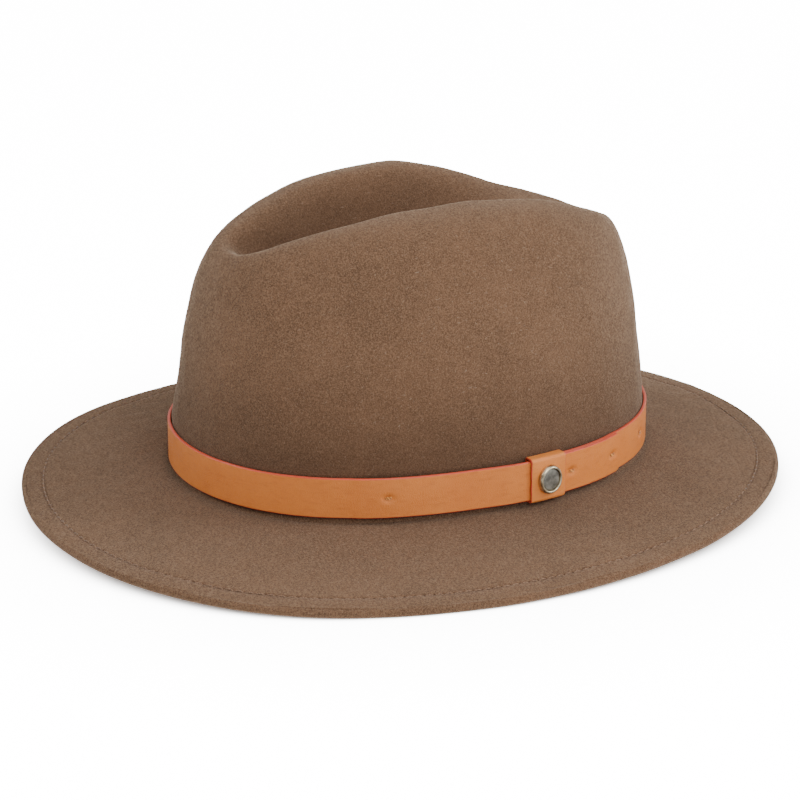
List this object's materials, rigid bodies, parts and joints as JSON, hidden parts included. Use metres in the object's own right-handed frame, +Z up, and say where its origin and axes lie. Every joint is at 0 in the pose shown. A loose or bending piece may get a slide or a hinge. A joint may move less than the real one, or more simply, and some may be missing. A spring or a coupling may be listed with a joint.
{
  "type": "fedora hat",
  "caption": "Wool felt fedora with a creased teardrop crown, stitched brim edge, leather strap with a sliding keeper and stud, sweatband and satin lining.",
  "frame": {"origin": "middle of the head opening, on the plane the lowest edge of the brim rests on", "axes": "+Z up through the crown, front of the hat towards -Y, wearer's left (the side with the keeper) towards +X"},
  "size_m": [0.2906, 0.342, 0.1377],
  "materials": {
    "felt": "short brushed nap",
    "brim_thread": "matt thread",
    "strap_leather": "smooth, satin",
    "tack_thread": "waxed thread",
    "keeper_leather": "smooth, satin",
    "stud_metal": "antiqued",
    "stud_inlay": "dark, satin",
    "plate_metal": "brushed",
    "sweat_leather": "matt, fine grain",
    "reed_plastic": "smooth",
    "tape_fabric": "ribbed tape",
    "sweat_thread": "matt thread",
    "bow_ribbon": "grosgrain",
    "lining_satin": "satin",
    "cord_satin": "satin",
    "label_fabric": "woven",
    "label_thread": "matt thread"
  },
  "bodies": {
    "hat": {"felt_body": "felt", "brim_stitching": "brim_thread", "hatband_strap": "strap_leather", "strap_tacks": "tack_thread", "sweatband": "sweat_leather", "sweatband_reed": "reed_plastic", "reed_tape": "tape_fabric", "sweatband_stitching": "sweat_thread", "sweatband_bow": "bow_ribbon", "lining_side": "lining_satin", "lining_tip": "lining_satin", "lining_cord": "cord_satin", "woven_label": "label_fabric", "label_stitches": "label_thread"},
    "keeper": {"strap_keeper": "keeper_leather", "stud_body": "stud_metal", "stud_face": "stud_inlay", "stud_backplate": "plate_metal"},
    "size_tab": {"size_tab": "label_fabric"},
    "care_label": {"care_label": "label_fabric"}
  },
  "joints": [
    {"name": "keeper_slide", "type": "hinge", "parent": "hat", "child": "keeper", "pos_m": [-0.07756, 0, 0.0279], "axis": [0, 0, 1], "range_deg": [-20, 0.5]},
    {"name": "size_tab_fold", "type": "hinge", "parent": "hat", "child": "size_tab", "pos_m": [-0.07615, 0, 0.0491], "axis": [0, 1, 0], "range_deg": [0, 110]},
    {"name": "care_label_fold", "type": "hinge", "parent": "hat", "child": "care_label", "pos_m": [-0.03263, 0.09066, 0.0469], "axis": [-0.8829, -0.4695, 0], "range_deg": [0, 150]}
  ]
}
